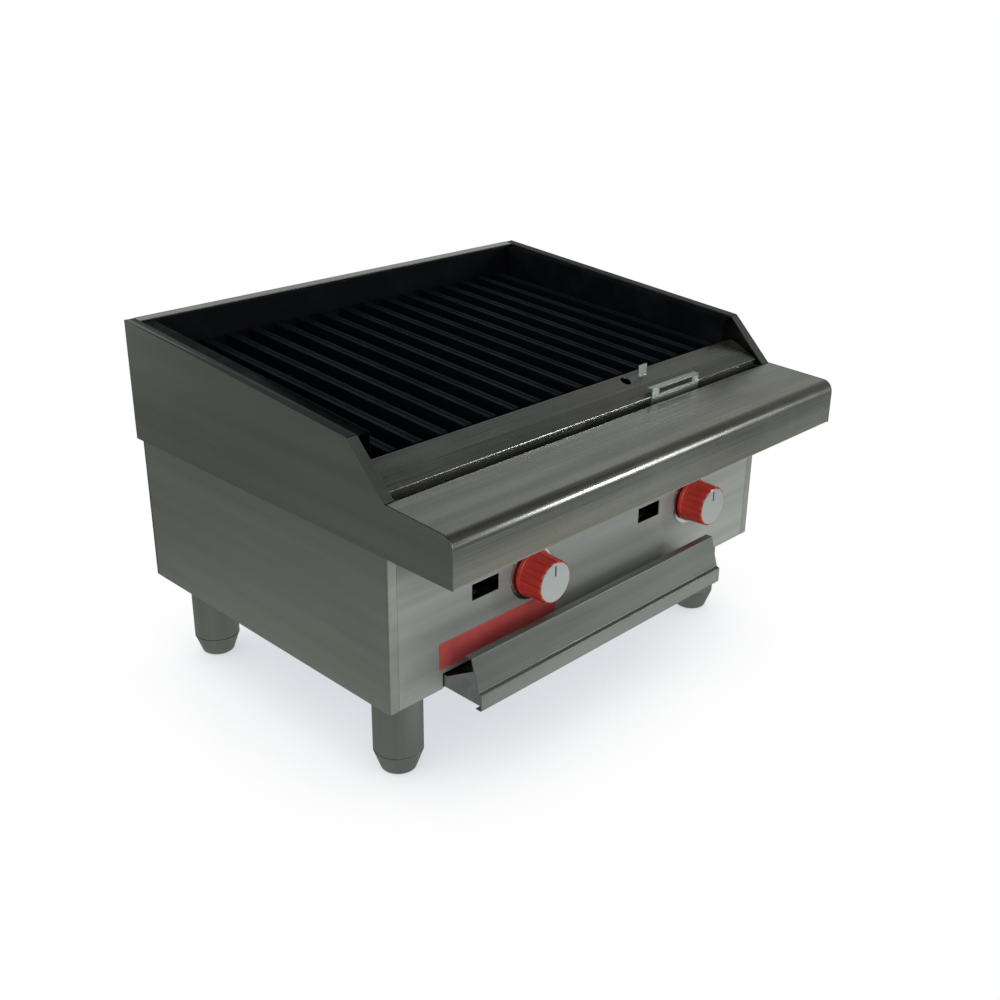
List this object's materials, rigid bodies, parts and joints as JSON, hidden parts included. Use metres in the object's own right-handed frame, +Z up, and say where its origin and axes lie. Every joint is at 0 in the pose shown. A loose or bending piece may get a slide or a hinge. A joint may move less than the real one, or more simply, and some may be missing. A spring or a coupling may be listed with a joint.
{
  "type": "gas charbroiler grill",
  "caption": "Countertop gas charbroiler: sloping cast-iron grates in a splash guard, front ledge, red knobs, grease trough, pull-out grease drawer and short legs.",
  "frame": {"origin": "on the counter, in the middle of the footprint", "axes": "+X is the cook's right, +Y the back, +Z up"},
  "size_m": [0.6096, 0.548, 0.411],
  "materials": {
    "side_steel": "satin, dark",
    "front_steel": "satin",
    "rim_steel": "bright satin",
    "galvanised": "dull",
    "black_liner": "matt, heat-blackened",
    "cast_iron": "rough, seasoned",
    "black_pipe": "satin",
    "brass": "machined",
    "bright_steel": "bright",
    "knob_red": "satin gloss",
    "knob_silver": "satin",
    "plate_red": "satin enamel",
    "leg_steel": "satin",
    "aluminium_tube": "drawn"
  },
  "bodies": {
    "housing": {"base_plate": "galvanised", "side_panel_left": "side_steel", "side_panel_right": "side_steel", "rear_panel": "galvanised", "front_panel": "front_steel", "splash_left": "side_steel", "splash_right": "side_steel", "splash_rear": "rim_steel", "shelf": "front_steel", "liner_left": "black_liner", "liner_right": "black_liner", "liner_rear": "black_liner", "liner_front": "black_liner", "grease_chute_left": "galvanised", "grease_chute_right": "galvanised", "radiant_rails": "black_liner", "grate_rails": "black_liner", "burner_rest": "black_liner", "radiant_1": "cast_iron", "radiant_2": "cast_iron", "radiant_3": "cast_iron", "radiant_4": "cast_iron", "burner_left": "cast_iron", "burner_right": "cast_iron", "manifold": "black_pipe", "pipe_elbows": "black_pipe", "gas_inlet_pipe": "black_pipe", "valve_left": "brass", "valve_right": "brass", "orifices": "brass", "knob_bezels": "rim_steel", "pilot_valves": "brass", "pilot_tubes": "aluminium_tube", "pilot_tips": "brass", "drawer_runners": "galvanised", "name_plate": "plate_red", "legs": "leg_steel", "leg_bolts": "bright_steel", "rear_screws": "bright_steel"},
    "knob_left": {"knob_left": "knob_red", "knob_face_left": "knob_silver", "valve_stem_left": "bright_steel"},
    "knob_right": {"knob_right": "knob_red", "knob_face_right": "knob_silver", "valve_stem_right": "bright_steel"},
    "drawer": {"drawer_pan": "galvanised", "drawer_front": "front_steel"},
    "trough": {"trough": "front_steel", "trough_handle": "rim_steel"},
    "air_shutter_left": {"air_shutter_left": "galvanised"},
    "air_shutter_right": {"air_shutter_right": "galvanised"},
    "grate_1": {"grate_1": "cast_iron"},
    "grate_2": {"grate_2": "cast_iron"},
    "grate_3": {"grate_3": "cast_iron"},
    "grate_4": {"grate_4": "cast_iron"},
    "foot_front_left": {"foot_front_left": "leg_steel"},
    "foot_front_right": {"foot_front_right": "leg_steel"},
    "foot_rear_left": {"foot_rear_left": "leg_steel"},
    "foot_rear_right": {"foot_rear_right": "leg_steel"}
  },
  "joints": [
    {"name": "knob_left_turn", "type": "hinge", "parent": "housing", "child": "knob_left", "pos_m": [-0.105, -0.2, 0.188], "axis": [0, -1, 0], "range_deg": [0, 180]},
    {"name": "knob_right_turn", "type": "hinge", "parent": "housing", "child": "knob_right", "pos_m": [0.168, -0.2, 0.188], "axis": [0, -1, 0], "range_deg": [0, 180]},
    {"name": "drawer_slide", "type": "slide", "parent": "housing", "child": "drawer", "axis": [0, -1, 0], "range_m": [0, 0.36]},
    {"name": "grate_1_lift", "type": "slide", "parent": "housing", "child": "grate_1", "axis": [0, 0, 1], "range_m": [0, 0.15]},
    {"name": "grate_2_lift", "type": "slide", "parent": "housing", "child": "grate_2", "axis": [0, 0, 1], "range_m": [0, 0.15]},
    {"name": "grate_3_lift", "type": "slide", "parent": "housing", "child": "grate_3", "axis": [0, 0, 1], "range_m": [0, 0.15]},
    {"name": "grate_4_lift", "type": "slide", "parent": "housing", "child": "grate_4", "axis": [0, 0, 1], "range_m": [0, 0.15]},
    {"name": "trough_lift", "type": "slide", "parent": "housing", "child": "trough", "axis": [0, 0, 1], "range_m": [0, 0.12]},
    {"name": "air_shutter_left_turn", "type": "hinge", "parent": "housing", "child": "air_shutter_left", "pos_m": [-0.105, -0.142, 0.188], "axis": [0, -1, 0], "range_deg": [0, 45]},
    {"name": "air_shutter_right_turn", "type": "hinge", "parent": "housing", "child": "air_shutter_right", "pos_m": [0.168, -0.142, 0.188], "axis": [0, -1, 0], "range_deg": [0, 45]},
    {"name": "foot_front_left_screw", "type": "slide", "parent": "housing", "child": "foot_front_left", "axis": [0, 0, -1], "range_m": [0, 0.02]},
    {"name": "foot_front_right_screw", "type": "slide", "parent": "housing", "child": "foot_front_right", "axis": [0, 0, -1], "range_m": [0, 0.02]},
    {"name": "foot_rear_left_screw", "type": "slide", "parent": "housing", "child": "foot_rear_left", "axis": [0, 0, -1], "range_m": [0, 0.02]},
    {"name": "foot_rear_right_screw", "type": "slide", "parent": "housing", "child": "foot_rear_right", "axis": [0, 0, -1], "range_m": [0, 0.02]}
  ]
}
